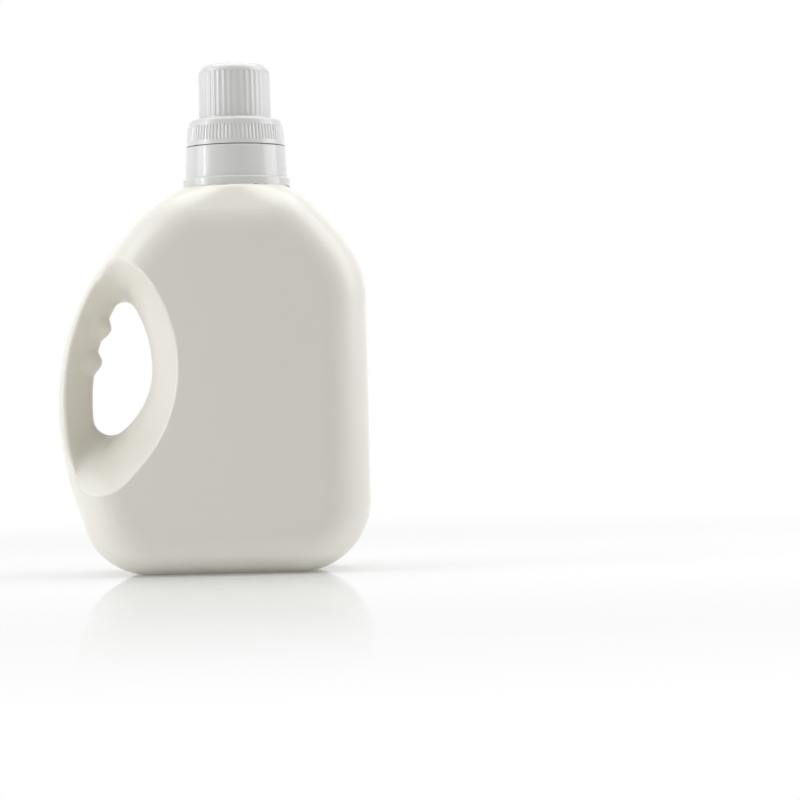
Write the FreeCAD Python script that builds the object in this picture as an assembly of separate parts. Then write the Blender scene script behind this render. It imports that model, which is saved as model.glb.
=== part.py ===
import FreeCAD, Part
import math
import os
from FreeCAD import Vector

# Laundry detergent bottle: a blow-moulded bottle with a pierced handle, a drain-back
# pouring spout in its neck, a screw collar that holds the spout down, and a dosing cap
# with its liner. Millimetres, +Z up. The origin is the middle of the footprint on the
# surface that the bottle stands on; the handle is on the -X side.

# ---- body form -------------------------------------------------------------------
body_width = 167.0
body_depth = 82.0
shoulder_top_z = 206.4
wall = 1.0
handle_wall = 2.2
neck_x = 15.0
waist_drop = 114.4
back_upper_r = 128.0
back_lower_r = 170.0
shoulder_r = 130.0
shoulder_centre_from_front = 117.0
shoulder_centre_rise = 10.2
heel_r = 38.0
crown_r = 30.0
front_shoulder_r = 50.0
panel_edge_r = 25.0

# ---- handle scoop ----------------------------------------------------------------
scoop_edge_from_neck = -31.2
grip_edge_from_neck = -47.7
scoop_rise = 19.2
scoop_edge_r = 77.8
grip_upper_r = 64.0
grip_lower_r = 43.0
grip_top_corner_r = 6.5
grip_top_corner_gain = 20.0
grip_bottom_corner_r = 9.5
handle_bar = 18.2
handle_slope = 1.3
handle_nose = 5.0
scoop_nose = 8.0
scoop_edge_fillet = 2.2
scoop_stations = (0.0, 2.5, 5.0, 8.0, 12.0, 16.0, 22.0)
scoop_outer_stations = (-11.0, -3.0, 5.0)

# ---- finger ridges ---------------------------------------------------------------
ridge_rises = (40.5, 22.5)
ridge_height = 3.6
ridge_upper_run = 7.5
ridge_lower_run = 9.5
ridge_half_depth = 11.0
ridge_sink = 0.4
ridge_profile = ((-1.0, 0.0), (-0.55, 0.45), (-0.15, 0.96), (0.15, 0.96), (0.55, 0.45), (1.0, 0.0))

# ---- base ------------------------------------------------------------------------
foot_ring = 5.6
push_up_rise = 2.2
push_up_slope_run = 5.0
push_up_corner_r = 8.0

# ---- neck finish -----------------------------------------------------------------
neck_height = 19.8
neck_r = 22.85
neck_wall = 2.2
neck_rim_inset = 1.0
neck_rim_step = 2.6
bead_reach = 3.35
bead_rise = 3.0
bead_half = 1.1
bead_slope = 0.6
neck_rim_chamfer = 0.6

# ---- spout fitment ---------------------------------------------------------------
fit_gap = 0.3
fitment_wall = 1.2
plug_lead_r = 0.5
plug_lead_h = 1.5
flange_t = 1.1
flange_over_rim = 1.3
well_depth = 18.8
spout_r = 12.6
spout_wall = 1.2
spout_height = 31.8
spout_lip_drop = 13.0
drain_slot_w = 5.0
drain_slot_h = 9.0

# ---- collar ----------------------------------------------------------------------
collar_gap = 0.5
collar_deck_t = 1.2
neck_thread_room = 1.9
collar_low_wall = 3.05
collar_top_wall = 2.25
collar_flange_wall = 2.7
collar_flange_h = 4.8
collar_flange_chamfer = 0.8
collar_top_chamfer = 0.5
collar_ring_inset = 2.15
collar_ring_wall = 1.7

# ---- dosing cap and its liner ----------------------------------------------------
cap_gap = 0.4
cap_thread_room = 1.55
skirt_h = 14.3
skirt_set_in = 0.2
skirt_taper = 1.5
skirt_rim_h = 2.4
knurl_h = 8.0
knurl_count = 80
knurl_depth = 0.35
knurl_share = 0.8
ledge_t = 1.6
ledge_edge_r = 2.0
cup_h = 29.8
cup_low_r = 19.5
cup_top_r = 19.0
cup_wall = 1.4
cup_root = 0.8
cup_roof_chamfer = 1.8
cup_edge_r = 4.5
flute_count = 40
flute_depth = 0.2
flute_r = 3.5
liner_t = 1.0
liner_margin = 0.35

# ---- places that follow from the sizes above ---------------------------------------
left_x = -body_width / 2
right_x = body_width / 2
half_depth = body_depth / 2
waist_z = shoulder_top_z - waist_drop
shoulder_centre_x = right_x - shoulder_centre_from_front
shoulder_centre_z = waist_z + shoulder_centre_rise
scoop_z = waist_z + scoop_rise
foot_back_x = left_x + back_lower_r - math.sqrt((back_lower_r - heel_r)**2 - (waist_z - heel_r)**2)
foot_front_x = right_x - heel_r
foot_half_y = half_depth - panel_edge_r
neck_bore_r = neck_r - neck_wall
neck_rim_r = neck_r - neck_rim_inset
bead_r = neck_r + bead_reach
bead_bore_r = bead_r + fit_gap
rim_z = shoulder_top_z + neck_height
bead_z = shoulder_top_z + bead_rise
plug_r = neck_bore_r - fit_gap
well_floor_z = rim_z - well_depth
spout_top_z = rim_z + spout_height
deck_low_z = rim_z + flange_t
collar_low_z = shoulder_top_z + collar_gap
collar_top_z = deck_low_z + collar_deck_t
collar_bore_r = neck_r + neck_thread_room
collar_low_r = collar_bore_r + collar_low_wall
collar_top_r = collar_bore_r + collar_top_wall
collar_flange_r = bead_bore_r + collar_flange_wall
collar_ring_r = collar_bore_r - collar_ring_inset
collar_ring_bore_r = collar_ring_r - collar_ring_wall
skirt_bore_r = collar_ring_r + cap_thread_room
skirt_low_r = collar_top_r - skirt_set_in
skirt_top_r = skirt_low_r - skirt_taper
skirt_low_z = collar_top_z + cap_gap
ledge_z = skirt_low_z + skirt_h
cap_top_z = ledge_z + cup_h
liner_high_z = ledge_z - ledge_t
liner_low_z = liner_high_z - liner_t
cup_bore_low_r = cup_low_r - cup_wall
cup_bore_top_r = cup_top_r - cup_wall


# ---- small drawing helpers ---------------------------------------------------------
def arc_about(start, end, centre, radius):
    """The shorter arc from start to end about centre."""
    middle = (start + end) * 0.5 - centre
    return Part.Arc(start, centre + middle * (radius / middle.Length), end).toShape()


def joined(first, second):
    """Two edges that meet smoothly, as one curve."""
    curves = [e.Curve.toBSpline(e.FirstParameter, e.LastParameter) for e in (first, second)]
    curves[0].join(curves[1])
    return curves[0].toShape()


def corner_of_circles(c1, r1, c2, r2, upper):
    """The upper or lower crossing of two circles drawn in X and Z."""
    d = math.hypot(c2[0] - c1[0], c2[1] - c1[1])
    along = (d * d + r1 * r1 - r2 * r2) / (2 * d)
    aside = math.sqrt(r1 * r1 - along * along)
    ux, uz = (c2[0] - c1[0]) / d, (c2[1] - c1[1]) / d
    foot = (c1[0] + along * ux, c1[1] + along * uz)
    first = (foot[0] - uz * aside, foot[1] + ux * aside)
    second = (foot[0] + uz * aside, foot[1] - ux * aside)
    return max(first, second, key=lambda p: p[1]) if upper else min(first, second, key=lambda p: p[1])


def on_ray(centre, through, radius):
    """The point at radius from centre, on the ray through another point."""
    d = math.hypot(through[0] - centre[0], through[1] - centre[1])
    return (centre[0] + (through[0] - centre[0]) * radius / d,
            centre[1] + (through[1] - centre[1]) * radius / d)


def revolved(profile):
    """A solid of revolution about the neck axis from (radius, z) corners; a third number rounds one."""
    corners = [Vector(neck_x + corner[0], 0, corner[1]) for corner in profile]
    arcs, ends = [], []
    for here, corner in enumerate(corners):
        rounding = profile[here][2] if len(profile[here]) > 2 else 0
        back = (corners[here - 1] - corner).normalize()
        ahead = (corners[(here + 1) % len(corners)] - corner).normalize()
        half_angle = back.getAngle(ahead) / 2
        reach = rounding / math.tan(half_angle)
        ends.append((corner + back * reach, corner + ahead * reach))
        if rounding:
            inwards = (back + ahead).normalize()
            nearest = corner + inwards * (rounding / math.sin(half_angle) - rounding)
            arcs.append(Part.Arc(ends[-1][0], nearest, ends[-1][1]).toShape())
    sides = [Part.makeLine(ends[here - 1][1], ends[here][0]) for here in range(len(ends))
             if ends[here - 1][1].distanceToPoint(ends[here][0]) > 1e-6]
    face = Part.Face(Part.Wire(Part.__sortEdges__(arcs + sides)))
    return face.revolve(Vector(neck_x, 0, 0), Vector(0, 0, 1), 360)


def neck_cylinder(radius, low_z, high_z):
    return Part.makeCylinder(radius, high_z - low_z, Vector(neck_x, 0, low_z))


# ---- bottle ------------------------------------------------------------------------
def body_form(inset):
    """The plump body without scoop or neck, with every face moved in by inset."""
    y = inset - half_depth
    low_z = inset
    high_z = shoulder_top_z - inset
    front_x = right_x - inset
    upper_r = back_upper_r - inset
    lower_r = back_lower_r - inset
    slope_r = shoulder_r - inset
    upper = Vector(left_x + back_upper_r, y, waist_z)
    lower = Vector(left_x + back_lower_r, y, waist_z)
    slope = Vector(shoulder_centre_x, y, shoulder_centre_z)
    back_heel = Vector(lower.x - math.sqrt(lower_r**2 - (low_z - lower.z)**2), y, low_z)
    waist = Vector(left_x + inset, y, waist_z)
    back_crown = Vector(upper.x - math.sqrt(upper_r**2 - (high_z - upper.z)**2), y, high_z)
    front_crown = Vector(slope.x + math.sqrt(slope_r**2 - (high_z - slope.z)**2), y, high_z)
    front = Vector(front_x, y, slope.z + math.sqrt(slope_r**2 - (front_x - slope.x)**2))
    front_heel = Vector(front_x, y, low_z)
    outline = [arc_about(back_heel, waist, lower, lower_r),
               arc_about(waist, back_crown, upper, upper_r),
               Part.makeLine(back_crown, front_crown),
               arc_about(front_crown, front, slope, slope_r),
               Part.makeLine(front, front_heel),
               Part.makeLine(front_heel, back_heel)]
    form = Part.Face(Part.Wire(outline)).extrude(Vector(0, body_depth - 2 * inset, 0))
    rounded = ((back_heel, heel_r), (back_crown, crown_r), (front_crown, crown_r),
               (front, front_shoulder_r), (front_heel, heel_r))
    for corner, radius in rounded:
        edges = [e for e in form.Edges
                 if all(math.hypot(v.X - corner.x, v.Z - corner.z) < 1e-4 for v in e.Vertexes)]
        form = form.makeFillet(radius - inset, edges)
    panel_y = half_depth - inset
    rims = [e for e in form.Edges if all(abs(abs(v.Y) - panel_y) < 1e-4 for v in e.Vertexes)
            and e.Vertexes[0].Y * e.Vertexes[-1].Y > 0]
    return form.makeFillet(panel_edge_r - inset, rims)


def rounded_run(y, nose):
    """Distance gained away from the mid-plane by a straight flank with a rounded nose."""
    return math.hypot(y, nose) - nose


def handle_depth(y):
    """How far in from the back of the body the handle's flank lies at this Y."""
    return handle_bar - handle_slope * rounded_run(y, handle_nose)


def scoop_section(y, front_wall, back_wall):
    """The closed outline of the handle scoop at this Y, grown into the body by a wall."""
    share = rounded_run(y, scoop_nose) / rounded_run(half_depth, scoop_nose)
    span = scoop_edge_from_neck - grip_edge_from_neck
    front_lean = span / rounded_run(half_depth, scoop_nose) * y / math.hypot(y, scoop_nose)
    front_growth = front_wall * math.hypot(1, front_lean)
    back_growth = back_wall * math.hypot(1, handle_slope * y / math.hypot(y, handle_nose))
    edge_x = neck_x + grip_edge_from_neck + share * span
    upper_r = grip_upper_r + share * (scoop_edge_r - grip_upper_r)
    lower_r = grip_lower_r + share * (scoop_edge_r - grip_lower_r)
    upper = (edge_x - upper_r, scoop_z)
    lower = (edge_x - lower_r, scoop_z)
    upper_r += front_growth
    lower_r += front_growth
    depth = handle_depth(y) - back_growth
    back_upper = (left_x + back_upper_r, waist_z)
    back_lower = (left_x + back_lower_r, waist_z)
    handle_upper_r = back_upper_r - depth
    handle_lower_r = back_lower_r - depth
    top_r = grip_top_corner_r + grip_top_corner_gain * share + front_growth
    bottom_r = grip_bottom_corner_r + front_growth
    top = corner_of_circles(back_upper, handle_upper_r - top_r, upper, upper_r - top_r, True)
    bottom = corner_of_circles(back_lower, handle_lower_r - bottom_r, lower, lower_r - bottom_r, False)
    edge = (edge_x + front_growth, scoop_z)
    waist = (left_x + depth, waist_z)

    def arc(start, end, centre, radius):
        return arc_about(*(Vector(p[0], y, p[1]) for p in (start, end, centre)), radius)

    handle_side = joined(arc(on_ray(back_upper, top, handle_upper_r), waist, back_upper, handle_upper_r),
                         arc(waist, on_ray(back_lower, bottom, handle_lower_r), back_lower, handle_lower_r))
    return Part.Wire([arc(edge, on_ray(upper, top, upper_r), upper, upper_r),
                      arc(on_ray(upper, top, upper_r), on_ray(back_upper, top, handle_upper_r), top, top_r),
                      handle_side,
                      arc(on_ray(back_lower, bottom, handle_lower_r), on_ray(lower, bottom, lower_r),
                          bottom, bottom_r),
                      arc(on_ray(lower, bottom, lower_r), edge, lower, lower_r)])


def scoop(front_wall, back_wall):
    """The hourglass that is scooped out behind the handle, from both sides at once."""
    half = list(scoop_stations) + [half_depth + past for past in scoop_outer_stations]
    stations = [-y for y in half[:0:-1]] + half
    return Part.makeLoft([scoop_section(y, front_wall, back_wall) for y in stations], True)


def scoop_edges(shape):
    """The edges where the scoop runs out through the outside of the body."""
    owners = {}
    for face in shape.Faces:
        for edge in face.Edges:
            owners.setdefault(edge.hashCode(), []).append(face)
    found = []
    for edge in shape.Edges:
        kinds = [isinstance(f.Surface, Part.BSplineSurface) for f in owners[edge.hashCode()]]
        if sorted(kinds) == [False, True]:
            found.append(edge)
    return found


def scooped_outside():
    """Outside of the body with the scoop taken out and its edges rounded."""
    form = body_form(0).cut(scoop(0, 0))
    return form.makeFillet(scoop_edge_fillet, scoop_edges(form))


def scooped_inside():
    """Inside of the body, a wall away from its outside."""
    return body_form(wall).cut(scoop(wall, handle_wall))


def ridge_section(angle, height):
    """Section of a finger ridge in a plane through the axis of the handle's back curve."""
    centre = Vector(left_x + back_upper_r, 0, waist_z)
    outwards = Vector(-math.cos(angle), 0, math.sin(angle))
    points = []
    for step in range(9):
        y = ridge_half_depth * (step / 4.0 - 1.0)
        crest = height * (1 - (y / ridge_half_depth)**2)
        depth = handle_depth(y) - ridge_sink + crest
        points.append(centre + outwards * (back_upper_r - depth) + Vector(0, y, 0))
    curve = Part.BSplineCurve()
    curve.interpolate(points)
    return Part.Wire([curve.toShape(), Part.makeLine(points[-1], points[0])])


def finger_ridge(z):
    """One rounded ridge between two fingers, running out over both flanks of the handle."""
    nose_r = back_upper_r - handle_bar
    peak = math.asin((z - waist_z) / nose_r)
    sections = []
    for along, share in ridge_profile:
        run = ridge_upper_run if along > 0 else ridge_lower_run
        sections.append(ridge_section(peak + along * run / nose_r, ridge_height * share))
    return Part.makeLoft(sections, True)


def push_up(grow):
    """The shallow raised panel under the base, grown upwards and outwards by grow."""
    def outline(shrink, z):
        inset = foot_ring + shrink - grow
        corner = Vector(foot_back_x + inset, inset - foot_half_y, z)
        block = Part.makeBox(foot_front_x - inset - corner.x, -2 * corner.y, 1, corner)
        upright = [e for e in block.Edges if abs(e.Vertexes[0].Z - e.Vertexes[-1].Z) > 0.5]
        block = block.makeFillet(push_up_corner_r - shrink + grow, upright)
        return [f for f in block.Faces if abs(f.CenterOfMass.z - z) < 1e-6][0].OuterWire
    return Part.makeLoft([outline(0, -0.5), outline(push_up_slope_run, push_up_rise + grow)], True, True)


def neck_finish():
    """Neck with its bead and rim step, before it is bored."""
    root_z = shoulder_top_z - panel_edge_r / 2
    profile = [(0, root_z), (neck_r, root_z), (neck_r, bead_z - bead_half - bead_slope),
               (bead_r, bead_z - bead_half / 2), (bead_r, bead_z + bead_half / 2),
               (neck_r, bead_z + bead_half + bead_slope), (neck_r, rim_z - neck_rim_step),
               (neck_rim_r, rim_z - neck_rim_step + neck_rim_chamfer), (neck_rim_r, rim_z), (0, rim_z)]
    return revolved(profile)


def bottle():
    outside = scooped_outside()
    for rise in ridge_rises:
        outside = outside.fuse(finger_ridge(waist_z + rise))
    outside = outside.fuse(neck_finish()).cut(push_up(0))
    inside = scooped_inside().cut(push_up(wall))
    inside = inside.fuse(neck_cylinder(neck_bore_r, shoulder_top_z - panel_edge_r, rim_z + 1))
    return outside.cut(inside)


def spout_fitment():
    """Plug, drain well and slant-lipped spout, hung from a flange on the neck's rim."""
    well_r = plug_r - fitment_wall
    floor_top_z = well_floor_z + fitment_wall
    spout_bore_r = spout_r - spout_wall
    profile = [(spout_bore_r, well_floor_z), (plug_r - plug_lead_r, well_floor_z),
               (plug_r, well_floor_z + plug_lead_h),
               (plug_r, rim_z), (neck_rim_r + flange_over_rim, rim_z),
               (neck_rim_r + flange_over_rim, deck_low_z), (well_r, deck_low_z),
               (well_r, floor_top_z), (spout_r, floor_top_z), (spout_r, spout_top_z),
               (spout_bore_r, spout_top_z)]
    fitment = revolved(profile)
    lip_corners = [Vector(neck_x + spout_r, -spout_r, spout_top_z),
                   Vector(neck_x - spout_r, -spout_r, spout_top_z - spout_lip_drop),
                   Vector(neck_x - spout_r, -spout_r, spout_top_z + spout_lip_drop)]
    lip = Part.Face(Part.makePolygon(lip_corners + lip_corners[:1])).extrude(Vector(0, 2 * spout_r, 0))
    slot = Part.makeBox(3 * spout_wall, drain_slot_w, drain_slot_h,
                        Vector(neck_x - spout_r - spout_wall, -drain_slot_w / 2, floor_top_z))
    return fitment.cut(lip).cut(slot)


def collar():
    """Screw collar: deck over the spout's flange, flange over the neck's bead, ring for the cap."""
    flange_top_z = collar_low_z + collar_flange_h
    bead_room_z = bead_z + bead_half + 2 * fit_gap
    profile = [(bead_bore_r, collar_low_z), (collar_flange_r, collar_low_z),
               (collar_flange_r, flange_top_z - collar_flange_chamfer), (collar_low_r, flange_top_z),
               (collar_top_r, collar_top_z - collar_top_chamfer),
               (collar_top_r - collar_top_chamfer, collar_top_z),
               (collar_ring_r, collar_top_z), (collar_ring_r, liner_low_z),
               (collar_ring_bore_r, liner_low_z), (collar_ring_bore_r, deck_low_z),
               (collar_bore_r, deck_low_z), (collar_bore_r, bead_room_z + bead_bore_r - collar_bore_r),
               (bead_bore_r, bead_room_z)]
    return revolved(profile)


def cap_seal():
    """Flat ring of liner under the cap's ledge, which presses on the collar's ring."""
    outer_r = skirt_bore_r - liner_margin
    inner_r = cup_bore_low_r + liner_margin
    return neck_cylinder(outer_r, liner_low_z, liner_high_z).cut(
        neck_cylinder(inner_r, liner_low_z - 1, liner_high_z + 1))


def around_neck(tool, count):
    """Copies of a tool, evenly spaced about the neck axis."""
    copies = []
    for step in range(count):
        copy = tool.copy()
        copy.rotate(Vector(neck_x, 0, 0), Vector(0, 0, 1), 360.0 * step / count)
        copies.append(copy)
    return Part.makeCompound(copies)


def knurls():
    """V grooves that follow the taper of the skirt."""
    low_z = skirt_low_z + skirt_rim_h
    taper = (skirt_top_r - skirt_low_r) / (ledge_z - ledge_edge_r - skirt_low_z)
    half_w = math.pi * skirt_top_r / knurl_count * knurl_share

    def groove(z):
        r = skirt_low_r + taper * (z - skirt_low_z)
        corners = [Vector(neck_x + r - knurl_depth, 0, z), Vector(neck_x + r + knurl_depth, 2 * half_w, z),
                   Vector(neck_x + r + knurl_depth, -2 * half_w, z)]
        return Part.makePolygon(corners + corners[:1])
    return around_neck(Part.makeLoft([groove(low_z), groove(low_z + knurl_h)], True, True), knurl_count)


def flutes():
    """Shallow round flutes down the side of the measuring cup."""
    low_z = ledge_z + 2 * cup_root
    high_z = cap_top_z - cup_edge_r
    lean = (cup_top_r - cup_low_r) / (high_z - ledge_z)

    def ring(z):
        r = cup_low_r + lean * (z - ledge_z) + flute_r - flute_depth
        return Part.Wire(Part.makeCircle(flute_r, Vector(neck_x + r, 0, z)))
    return around_neck(Part.makeLoft([ring(low_z), ring(high_z)], True, True), flute_count)


def dosing_cap():
    """Knurled skirt, ledge, and the narrow cup that measures the dose."""
    outside = revolved([(0, skirt_low_z), (skirt_low_r, skirt_low_z), (skirt_top_r, ledge_z - ledge_edge_r),
                        (skirt_top_r, ledge_z, ledge_edge_r), (cup_low_r + cup_root, ledge_z),
                        (cup_low_r, ledge_z + cup_root), (cup_top_r, cap_top_z, cup_edge_r),
                        (0, cap_top_z)])
    roof_z = cap_top_z - cup_wall
    cup_bore = revolved([(0, skirt_low_z), (cup_bore_low_r, skirt_low_z), (cup_bore_low_r, ledge_z),
                         (cup_bore_top_r, roof_z - cup_roof_chamfer),
                         (cup_bore_top_r - cup_roof_chamfer, roof_z), (0, roof_z)])
    skirt_bore = neck_cylinder(skirt_bore_r, skirt_low_z - 1, liner_high_z)
    return outside.cut(knurls()).cut(flutes()).cut(cup_bore).cut(skirt_bore)


parts = {"bottle": bottle, "spout_fitment": spout_fitment, "collar": collar,
         "cap_seal": cap_seal, "dosing_cap": dosing_cap}

os.makedirs("parts", exist_ok=True)
for name, make in parts.items():
    shape = make()
    print(name, "valid" if shape.isValid() else "NOT VALID", len(shape.Solids), "solid",
          round(shape.Volume), "mm3")
    shape.exportStep("parts/" + name + ".step")
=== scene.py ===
import math

import bmesh
import bpy
from mathutils import Matrix, Vector
from mathutils.bvhtree import BVHTree


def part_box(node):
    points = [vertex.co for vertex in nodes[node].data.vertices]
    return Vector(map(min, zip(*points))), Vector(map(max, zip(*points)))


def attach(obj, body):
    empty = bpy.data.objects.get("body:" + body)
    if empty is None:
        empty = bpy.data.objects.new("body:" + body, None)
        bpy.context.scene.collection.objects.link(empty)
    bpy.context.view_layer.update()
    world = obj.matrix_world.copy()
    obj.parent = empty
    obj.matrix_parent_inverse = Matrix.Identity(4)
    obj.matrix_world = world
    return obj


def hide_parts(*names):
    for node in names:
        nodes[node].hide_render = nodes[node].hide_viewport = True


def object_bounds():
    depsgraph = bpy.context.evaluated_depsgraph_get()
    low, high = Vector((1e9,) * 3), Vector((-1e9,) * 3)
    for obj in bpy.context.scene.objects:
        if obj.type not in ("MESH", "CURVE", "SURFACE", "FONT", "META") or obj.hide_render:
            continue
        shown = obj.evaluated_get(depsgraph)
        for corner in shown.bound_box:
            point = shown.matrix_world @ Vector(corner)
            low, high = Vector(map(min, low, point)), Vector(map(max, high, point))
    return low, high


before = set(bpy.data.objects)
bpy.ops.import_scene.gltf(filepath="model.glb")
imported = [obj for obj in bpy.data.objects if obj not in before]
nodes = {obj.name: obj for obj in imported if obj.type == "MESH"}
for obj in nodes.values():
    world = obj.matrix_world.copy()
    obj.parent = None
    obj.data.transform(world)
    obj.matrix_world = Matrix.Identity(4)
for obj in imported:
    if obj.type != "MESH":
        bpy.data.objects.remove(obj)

cad_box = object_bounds()

# ---- named sizes, metres -----------------------------------------------------------
MM = 0.001
neck_x = (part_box("cap_seal")[0].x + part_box("cap_seal")[1].x) / 2
foot_z = cad_box[0].z
overall = cad_box[1] - cad_box[0]
middle = Vector((0, 0, foot_z + overall.z / 2))
merge_gap = 0.001 * MM
near_gap = 0.01 * MM

# the back of the body: two arcs that meet at the waist, rounded across
# (the rounding eases in or out between the two values of a pair)
waist_z = 92 * MM
back_upper_r = 128 * MM
back_lower_r = 170 * MM
spine_half = 18 * MM
spine_across_r = 42 * MM
spine_depth = (20 * MM, 42 * MM)
spine_low_z = (12 * MM, 45 * MM)
spine_top_angle = (math.radians(35), math.radians(58))
spine_cut_step = 2 * MM
spine_cut_count = 20
spine_cuts = [side * step * spine_cut_step for step in range(spine_cut_count + 1) for side in (-1, 1)]

# the shoulder is drawn up to a ring under the collar
shoulder_low_z = 178 * MM
shoulder_ring_r = 30.5 * MM
shoulder_ring_z = 206.8 * MM
shoulder_ring_sides = 128
shoulder_reach = 8 * MM
neck_clear_r = 26.5 * MM
shoulder_cut_step = 2.5 * MM
shoulder_cut_count = 16
shoulder_cuts = [neck_x + step * shoulder_cut_step
                 for step in range(-shoulder_cut_count, shoulder_cut_count + 1)]
skin_sharp_angle = math.radians(35)

# screw threads: (body, root radius, crest radius, height of the first turn, turns, pitch)
threads = {"neck_thread": ("bottle", 22.85 * MM, 24.05 * MM, 212.6 * MM, 2.1, 4.5 * MM),
           "collar_thread_inside": ("collar", 24.75 * MM, 23.15 * MM, 214.85 * MM, 1.5, 4.5 * MM),
           "collar_thread_outside": ("collar", 22.6 * MM, 23.7 * MM, 230.8 * MM, 1.6, 4.0 * MM),
           "cap_thread": ("cap", 24.15 * MM, 22.95 * MM, 232.8 * MM, 1.3, 4.0 * MM)}
thread_root_half = 1.15 * MM
thread_crest_half = 0.5 * MM
thread_sink = 0.3 * MM
thread_steps = 60
thread_run_out = 8
thread_least_height = 0.1
thread_sharp_angle = math.radians(30)

# where the two halves of the blow mould met, and where they pinched the tube shut
seam_height = 0.10 * MM
seam_half = 0.22 * MM
seam_sink = 0.10 * MM
seam_low_z = 9 * MM
seam_high_z = 206 * MM
seam_middle = Vector((0, 0, 100 * MM))
pinch_size = Vector((46 * MM, 1.1 * MM, 0.9 * MM))
pinch_end_round = 0.45
pinch_foot_round = 0.25
pinch_place = Vector((8 * MM, 0, 2.35 * MM))

# camera, level but for a slight roll
camera_distance = 1.5
camera_aside_of_neck = 85.6 * MM
camera_height = 90.4 * MM
camera_roll = math.radians(1.3)
camera_view_width = 432 * MM
sensor_width = 36.0

# surround and lamp colours
world_level = 0.175
warm_white = (1.0, 0.88, 0.64)
cool_white = (0.93, 0.965, 1.0)

# lamps, aimed at the middle of the bottle: (place, width, height, watts)
lamps = {"left_box": ((-0.78, -0.20, 0.42), 0.5, 0.9, 3.8),
         "right_box": ((0.68, -0.02, 0.55), 0.5, 0.9, 3.7),
         "top_box": ((0, 0.10, 1.6), 1.9, 1.3, 24.0),
         "back_box": ((0, 0.9, 0.5), 1.2, 0.8, 0.5),
         "strip": ((-0.86, -0.28, 0.26), 0.010, 0.5, 0.9)}

# every plastic's common finish; a noise pattern lies mostly between noise_low and noise_high
refraction = 1.5
cloud_scale = 8.0
gloss_scale = 60.0
noise_low = 0.3
noise_high = 0.7
sheen_roughness = 0.18
glow_reach = (0.01, 0.009, 0.007)

# floor: matt, with a mirror that fades out by mirror_far, and lost in white past fade_far
floor_colour = (0.75, 0.75, 0.745)
floor_half_width = 6.0
floor_roughness = 0.02
floor_lift = 0.11
mirror_share = 0.5
mirror_near = 0.10
mirror_far = 0.75
fade_near = 0.12
fade_far = 0.70


# ---- materials ---------------------------------------------------------------------
def new_material(name):
    """An empty node material, its node tree and its output."""
    material = bpy.data.materials.new(name)
    material.use_nodes = True
    tree = material.node_tree
    tree.nodes.clear()
    output = tree.nodes.new("ShaderNodeOutputMaterial")
    return material, tree, output


def noise(tree, coordinates, scale, detail=2.0):
    """A noise pattern on object coordinates."""
    node = tree.nodes.new("ShaderNodeTexNoise")
    node.inputs["Scale"].default_value = scale
    node.inputs["Detail"].default_value = detail
    tree.links.new(coordinates, node.inputs["Vector"])
    return node.outputs["Fac"]


def ramp(tree, factor, low, high):
    """A noise pattern spread between two colours or two greys."""
    node = tree.nodes.new("ShaderNodeValToRGB")
    first, last = node.color_ramp.elements
    first.position, last.position = noise_low, noise_high
    first.color = (*low, 1.0)
    last.color = (*high, 1.0)
    tree.links.new(factor, node.inputs["Fac"])
    return node.outputs["Color"]


def spread(tree, value, start, end, low, high):
    """A value eased from low to high between start and end."""
    node = tree.nodes.new("ShaderNodeMapRange")
    node.interpolation_type = "SMOOTHSTEP"
    for name, number in (("From Min", start), ("From Max", end), ("To Min", low), ("To Max", high)):
        node.inputs[name].default_value = number
    tree.links.new(value, node.inputs["Value"])
    return node.outputs["Result"]


def bump(tree, height, depth, under=None):
    """A raised pattern of that depth, laid over another one if there is one."""
    node = tree.nodes.new("ShaderNodeBump")
    node.inputs["Strength"].default_value = 1.0
    node.inputs["Distance"].default_value = depth
    tree.links.new(height, node.inputs["Height"])
    if under:
        tree.links.new(under, node.inputs["Normal"])
    return node.outputs["Normal"]


def moulded_plastic(name, tint, shade, rough, rough_spread, grain, grain_depth,
                    wave, wave_depth, glow, sheen=0.0):
    """Moulded plastic: a faint cloud in its colour, uneven gloss, fine grain and long soft waves."""
    material, tree, output = new_material(name)
    place = tree.nodes.new("ShaderNodeTexCoord").outputs["Object"]
    shader = tree.nodes.new("ShaderNodeBsdfPrincipled")
    shader.inputs["IOR"].default_value = refraction
    shader.inputs["Coat Weight"].default_value = sheen
    shader.inputs["Coat Roughness"].default_value = sheen_roughness
    shader.inputs["Subsurface Weight"].default_value = glow
    shader.inputs["Subsurface Radius"].default_value = glow_reach
    shader.inputs["Subsurface Scale"].default_value = 1.0
    cloud = noise(tree, place, cloud_scale)
    tree.links.new(ramp(tree, cloud, shade, tint), shader.inputs["Base Color"])
    low, high = rough - rough_spread, rough + rough_spread
    gloss = ramp(tree, noise(tree, place, gloss_scale, detail=5.0), (low,) * 3, (high,) * 3)
    tree.links.new(gloss, shader.inputs["Roughness"])
    waves = bump(tree, noise(tree, place, wave), wave_depth)
    grained = bump(tree, noise(tree, place, grain), grain_depth, under=waves)
    tree.links.new(grained, shader.inputs["Normal"])
    tree.links.new(shader.outputs["BSDF"], output.inputs["Surface"])
    return material


def bottle_plastic():
    """Blown polyethylene: warm off-white, satin, a little light inside the wall."""
    return moulded_plastic("bottle_plastic", tint=(0.752, 0.722, 0.654), shade=(0.744, 0.714, 0.644),
                           rough=0.32, rough_spread=0.035, grain=1500.0, grain_depth=0.01 * MM,
                           wave=40.0, wave_depth=0.06 * MM, glow=0.12, sheen=0.10)


def closure_plastic():
    """Injection-moulded polypropylene: neutral white with a semi-gloss skin."""
    return moulded_plastic("closure_plastic", tint=(0.648, 0.645, 0.638), shade=(0.640, 0.637, 0.630),
                           rough=0.14, rough_spread=0.03, grain=2500.0, grain_depth=0.006 * MM,
                           wave=90.0, wave_depth=0.03 * MM, glow=0.08)


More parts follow.
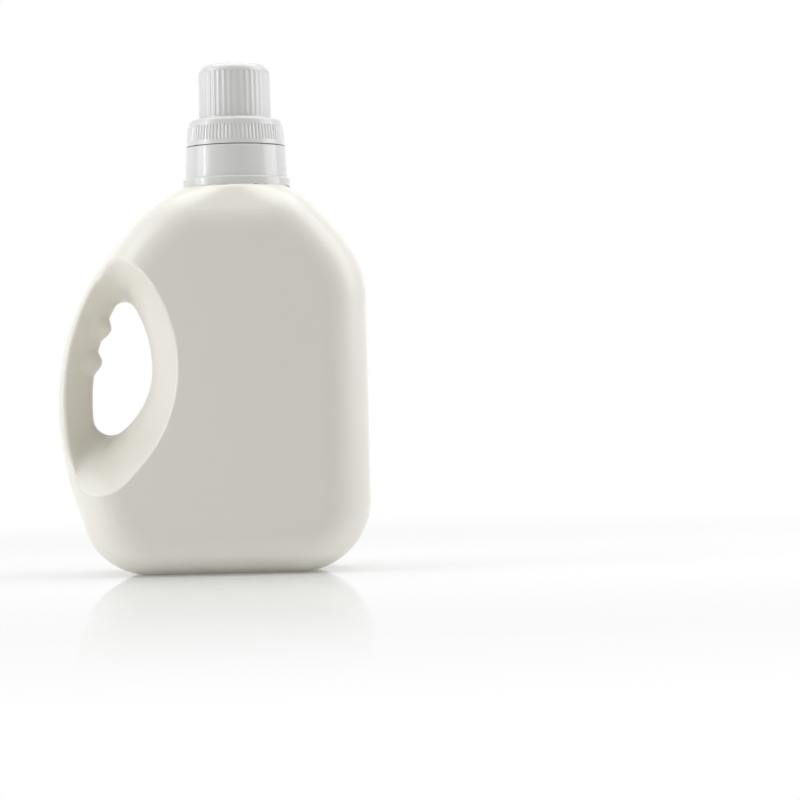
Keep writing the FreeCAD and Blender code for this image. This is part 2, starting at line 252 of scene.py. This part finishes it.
def spout_plastic():
    """Softer moulded polyethylene of the pouring spout."""
    return moulded_plastic("spout_plastic", tint=(0.75, 0.745, 0.72), shade=(0.735, 0.73, 0.70),
                           rough=0.38, rough_spread=0.04, grain=1800.0, grain_depth=0.012 * MM,
                           wave=70.0, wave_depth=0.05 * MM, glow=0.12)


def liner_foam():
    """Expanded liner sheet, matt with a fine cell texture."""
    return moulded_plastic("liner_foam", tint=(0.80, 0.80, 0.79), shade=(0.76, 0.76, 0.75),
                           rough=0.75, rough_spread=0.05, grain=4000.0, grain_depth=0.05 * MM,
                           wave=200.0, wave_depth=0.02 * MM, glow=0.1)


def floor_paint():
    """Pale polished floor: it keeps the shadow, mirrors near the foot, and fades into white."""
    material, tree, output = new_material("floor_paint")
    place = tree.nodes.new("ShaderNodeTexCoord").outputs["Object"]
    away = tree.nodes.new("ShaderNodeVectorMath")
    away.operation = "LENGTH"
    tree.links.new(place, away.inputs[0])
    matt = tree.nodes.new("ShaderNodeBsdfDiffuse")
    matt.inputs["Color"].default_value = (*floor_colour, 1.0)
    mirror = tree.nodes.new("ShaderNodeBsdfGlossy")
    mirror.inputs["Color"].default_value = (1.0, 1.0, 1.0, 1.0)
    mirror.inputs["Roughness"].default_value = floor_roughness
    polish = spread(tree, away.outputs["Value"], mirror_near, mirror_far, mirror_share, 0.0)
    polished = tree.nodes.new("ShaderNodeMixShader")
    tree.links.new(polish, polished.inputs["Fac"])
    tree.links.new(matt.outputs["BSDF"], polished.inputs[1])
    tree.links.new(mirror.outputs["BSDF"], polished.inputs[2])
    white = tree.nodes.new("ShaderNodeEmission")
    white.inputs["Strength"].default_value = 1.0
    fade = spread(tree, away.outputs["Value"], fade_near, fade_far, floor_lift, 1.0)
    faded = tree.nodes.new("ShaderNodeMixShader")
    tree.links.new(fade, faded.inputs["Fac"])
    tree.links.new(polished.outputs["Shader"], faded.inputs[1])
    tree.links.new(white.outputs["Emission"], faded.inputs[2])
    tree.links.new(faded.outputs["Shader"], output.inputs["Surface"])
    return material


def give(node_name, material):
    """Puts a material in every slot of a CAD node."""
    mesh = nodes[node_name].data
    if not mesh.materials:
        mesh.materials.append(material)
    for slot in range(len(mesh.materials)):
        mesh.materials[slot] = material


# ---- bottle skin -------------------------------------------------------------------
def eased(value, start, end):
    """0 before start, 1 past end, and smooth between."""
    share = min(1.0, max(0.0, (value - start) / (end - start)))
    return share * share * (3 - 2 * share)


def from_neck(place):
    """Distance from the neck's axis."""
    return math.hypot(place.x - neck_x, place.y)


def raise_shoulder(bm):
    """Draws the shoulder up to a tight skin between the body and a ring under the collar."""
    tight = bmesh.new()
    for vert in bm.verts:
        if vert.co.z > shoulder_low_z and from_neck(vert.co) > neck_clear_r:
            tight.verts.new(vert.co)
    bmesh.ops.create_circle(tight, cap_ends=False, segments=shoulder_ring_sides, radius=shoulder_ring_r,
                            matrix=Matrix.Translation((neck_x, 0, shoulder_ring_z)))
    bmesh.ops.convex_hull(tight, input=tight.verts)
    skin = BVHTree.FromBMesh(tight)
    heart = Vector((neck_x, 0, shoulder_low_z))
    for vert in bm.verts:
        outside = vert.normal.dot(vert.co - heart) > 0
        if outside and vert.co.z > shoulder_low_z and from_neck(vert.co) > neck_clear_r:
            place = skin.ray_cast(vert.co, vert.normal, shoulder_reach)[0]
            if place:
                vert.co = place
    tight.free()


def round_spine(bm):
    """Rounds the back of the handle and body across, inwards from its mid-line."""
    left_x = cad_box[0].x
    for vert in bm.verts:
        radius = back_upper_r if vert.co.z > waist_z else back_lower_r
        centre = Vector((left_x + radius, 0, waist_z))
        inwards = Vector((centre.x - vert.co.x, 0, centre.z - vert.co.z))
        depth = radius - inwards.length
        angle = math.atan2(vert.co.z - waist_z, centre.x - vert.co.x)
        share = 1 - eased(depth, *spine_depth)
        share *= eased(vert.co.z, *spine_low_z) * (1 - eased(angle, *spine_top_angle))
        aside = abs(vert.co.y)
        drop = min(aside, spine_half)**2 / (2 * spine_across_r)
        vert.co += inwards.normalized() * drop * share


def slice_faces(bm, wanted, place, normal):
    """Cuts the faces whose middle is wanted along a plane, so that they can bend there."""
    faces = [face for face in bm.faces if wanted(face.calc_center_median())]
    edges = list({edge for face in faces for edge in face.edges})
    verts = list({vert for face in faces for vert in face.verts})
    bmesh.ops.bisect_plane(bm, geom=faces + edges + verts, dist=merge_gap, plane_co=place, plane_no=normal)


def bottle_skin(material):
    """The bottle with its spine rounded across and its shoulder drawn up to the collar."""
    bm = bmesh.new()
    bm.from_mesh(nodes["bottle"].data)
    bmesh.ops.remove_doubles(bm, verts=bm.verts, dist=merge_gap)
    for cut in spine_cuts:
        slice_faces(bm, lambda place: place.x < neck_x - neck_clear_r, (0, cut, 0), (0, 1, 0))
    for cut in shoulder_cuts:
        slice_faces(bm, lambda place: place.z > shoulder_low_z, (cut, 0, 0), (1, 0, 0))
    bm.normal_update()
    raise_shoulder(bm)
    round_spine(bm)
    skin = new_piece("bottle_skin", bm, "bottle", material)
    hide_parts("bottle")
    skin.data.set_sharp_from_angle(angle=skin_sharp_angle)
    even = skin.modifiers.new("even_shading", "WEIGHTED_NORMAL")
    even.keep_sharp = True
    return skin


def thread(name, material):
    """A right-handed ridge that winds round the neck axis and runs out at both ends."""
    body, root_r, crest_r, low_z, turns, pitch = threads[name]
    sunk_r = root_r - math.copysign(thread_sink, crest_r - root_r)
    steps = round(turns * thread_steps)
    bm = bmesh.new()
    corners = ((sunk_r, -thread_root_half), (crest_r, -thread_crest_half),
               (crest_r, thread_crest_half), (sunk_r, thread_root_half))
    face = bm.faces.new([bm.verts.new((neck_x + r, 0, low_z + z)) for r, z in corners])

    def set_height(verts, step):
        """Sets the crest's radius: full along the ridge, and nearly down to its root at both ends."""
        share = eased(min(step, steps - step), 0, thread_run_out)
        top_r = sunk_r + (crest_r - sunk_r) * max(thread_least_height, share)
        for vert in verts:
            if abs(from_neck(vert.co) - sunk_r) > near_gap:
                out = Vector((vert.co.x - neck_x, vert.co.y, 0)).normalized()
                vert.co.x, vert.co.y = neck_x + out.x * top_r, out.y * top_r

    set_height(face.verts, 0)
    turn = Matrix.Rotation(math.tau / thread_steps, 3, "Z")
    for step in range(1, steps + 1):
        grown = bmesh.ops.extrude_face_region(bm, geom=[face])["geom"]
        face = next(item for item in grown if isinstance(item, bmesh.types.BMFace))
        verts = [item for item in grown if isinstance(item, bmesh.types.BMVert)]
        bmesh.ops.rotate(bm, cent=(neck_x, 0, 0), matrix=turn, verts=verts)
        bmesh.ops.translate(bm, vec=(0, 0, pitch / thread_steps), verts=verts)
        set_height(verts, step)
    bmesh.ops.recalc_face_normals(bm, faces=bm.faces)
    made = new_piece(name, bm, body, material)
    made.data.set_sharp_from_angle(angle=thread_sharp_angle)


def mould_seam(skin, material):
    """The fine raised line round the outside where the two mould halves met."""
    bm = bmesh.new()
    bm.from_mesh(skin.data)
    tree = BVHTree.FromBMesh(bm)
    everything = bm.verts[:] + bm.edges[:] + bm.faces[:]
    cut = bmesh.ops.bisect_plane(bm, geom=everything, dist=merge_gap,
                                 plane_co=(0, 0, 0), plane_no=(0, 1, 0))
    bm.verts.index_update()
    chosen = []
    for edge in (item for item in cut["geom_cut"] if isinstance(item, bmesh.types.BMEdge)):
        place = (edge.verts[0].co + edge.verts[1].co) / 2
        out = (place - seam_middle).normalized()
        clear = tree.ray_cast(place + out * seam_half, out)[0] is None
        if clear and seam_low_z < place.z < seam_high_z:
            chosen.append(edge)
    keep = sorted({vert for edge in chosen for vert in edge.verts}, key=lambda vert: vert.index)
    line = bmesh.new()
    copies = {vert: line.verts.new((vert.co.x, 0, vert.co.z)) for vert in keep}
    for edge in chosen:
        line.edges.new([copies[vert] for vert in edge.verts])
    bm.free()

    def move(verts, aside, up):
        """Shifts vertices across the seam and outwards from the middle of the bottle."""
        for vert in verts:
            out = vert.co - seam_middle
            out.y = 0
            vert.co += out.normalized() * up + Vector((0, aside, 0))

    move(line.verts, 0, seam_height)
    edges = line.edges[:]
    for aside, up in ((-seam_half, -seam_height - seam_sink), (2 * seam_half, 0),
                      (-seam_half, seam_height + seam_sink)):
        grown = bmesh.ops.extrude_edge_only(line, edges=edges)["geom"]
        edges = [item for item in grown if isinstance(item, bmesh.types.BMEdge)]
        move([item for item in grown if isinstance(item, bmesh.types.BMVert)], aside, up)
    bmesh.ops.remove_doubles(line, verts=line.verts, dist=near_gap)
    bmesh.ops.holes_fill(line, edges=[e for e in line.edges if e.is_boundary], sides=4)
    bmesh.ops.recalc_face_normals(line, faces=line.faces)
    for vert in line.verts:
        vert.co.x = min(cad_box[1].x, max(cad_box[0].x, vert.co.x))
    new_piece("mould_seam", line, "bottle", material)


def pinch_off(material):
    """The welded ridge under the base where the mould pinched the tube shut."""
    bm = bmesh.new()
    bmesh.ops.create_cube(bm, size=1.0)
    bmesh.ops.scale(bm, vec=pinch_size, verts=bm.verts)
    ends = [edge for edge in bm.edges if abs(edge.verts[0].co.z - edge.verts[1].co.z) > pinch_size.z / 2]
    bmesh.ops.bevel(bm, geom=ends, offset=pinch_size.y * pinch_end_round, segments=4,
                    profile=0.5, affect="EDGES", material=-1)
    low = [edge for edge in bm.edges if all(vert.co.z < 0 for vert in edge.verts)]
    bmesh.ops.bevel(bm, geom=low, offset=pinch_size.z * pinch_foot_round, segments=3,
                    profile=0.5, affect="EDGES", material=-1)
    bmesh.ops.translate(bm, vec=pinch_place, verts=bm.verts)
    new_piece("pinch_off", bm, "bottle", material)


def new_piece(name, bm, body, material):
    """A smooth-shaded object from a bmesh, riding on a CAD body."""
    mesh = bpy.data.meshes.new(name)
    bm.to_mesh(mesh)
    bm.free()
    mesh.shade_smooth()
    mesh.materials.append(material)
    made = bpy.data.objects.new(name, mesh)
    bpy.context.scene.collection.objects.link(made)
    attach(made, body)
    return made


# ---- stage, light and camera -------------------------------------------------------
def floor():
    """A wide flat floor under the bottle's foot."""
    mesh = bpy.data.meshes.new("floor")
    bm = bmesh.new()
    bmesh.ops.create_grid(bm, x_segments=1, y_segments=1, size=floor_half_width)
    bmesh.ops.translate(bm, vec=Vector((0, 0, foot_z)), verts=bm.verts)
    bm.to_mesh(mesh)
    bm.free()
    made = bpy.data.objects.new("floor", mesh)
    bpy.context.scene.collection.objects.link(made)
    mesh.materials.append(floor_paint())


def lamp(name, place, aim, width, height, power):
    """A rectangular soft lamp that faces a point."""
    data = bpy.data.lights.new(name, "AREA")
    data.shape = "RECTANGLE"
    data.size, data.size_y = width, height
    data.energy = power
    data.color = cool_white
    made = bpy.data.objects.new(name, data)
    bpy.context.scene.collection.objects.link(made)
    made.location = place
    made.rotation_euler = (Vector(aim) - Vector(place)).to_track_quat("-Z", "Y").to_euler()
    made.visible_camera = False


def white_world():
    """An even pale surround, pure white where the camera sees it directly."""
    world = bpy.data.worlds.new("surround")
    bpy.context.scene.world = world
    world.use_nodes = True
    tree = world.node_tree
    tree.nodes.clear()
    output = tree.nodes.new("ShaderNodeOutputWorld")
    paths = tree.nodes.new("ShaderNodeLightPath")
    seen = tree.nodes.new("ShaderNodeMath")
    seen.operation = "MAXIMUM"
    tree.links.new(paths.outputs["Is Camera Ray"], seen.inputs[0])
    tree.links.new(paths.outputs["Is Glossy Ray"], seen.inputs[1])
    plain = tree.nodes.new("ShaderNodeBackground")
    plain.inputs["Strength"].default_value = world_level
    white = tree.nodes.new("ShaderNodeBackground")
    white.inputs["Strength"].default_value = 1.0
    plain.inputs["Color"].default_value = (*warm_white, 1.0)
    white.inputs["Color"].default_value = (1.0, 1.0, 1.0, 1.0)
    mix = tree.nodes.new("ShaderNodeMixShader")
    tree.links.new(seen.outputs[0], mix.inputs["Fac"])
    tree.links.new(plain.outputs["Background"], mix.inputs[1])
    tree.links.new(white.outputs["Background"], mix.inputs[2])
    tree.links.new(mix.outputs["Shader"], output.inputs["Surface"])


def camera():
    """A long lens, level and nearly square to the front panel."""
    data = bpy.data.cameras.new("camera")
    data.sensor_width = sensor_width
    data.lens = sensor_width * camera_distance / camera_view_width
    made = bpy.data.objects.new("camera", data)
    bpy.context.scene.collection.objects.link(made)
    made.location = (neck_x + camera_aside_of_neck, -camera_distance, foot_z + camera_height)
    made.rotation_euler = (math.pi / 2, camera_roll, 0)
    bpy.context.scene.camera = made


# ---- the bottle on its floor -------------------------------------------------------
blown = bottle_plastic()
give("bottle", blown)
skin = bottle_skin(blown)
mould_seam(skin, blown)
pinch_off(blown)
thread("neck_thread", blown)
closure = closure_plastic()
for name in ("collar_thread_inside", "collar_thread_outside", "cap_thread"):
    thread(name, closure)
give("collar", closure)
give("dosing_cap", closure)
give("spout_fitment", spout_plastic())
give("cap_seal", liner_foam())
floor()
white_world()
for name, (place, width, height, power) in lamps.items():
    lamp(name, place, middle, width, height, power)
camera()

bpy.context.scene.view_settings.view_transform = "Standard"
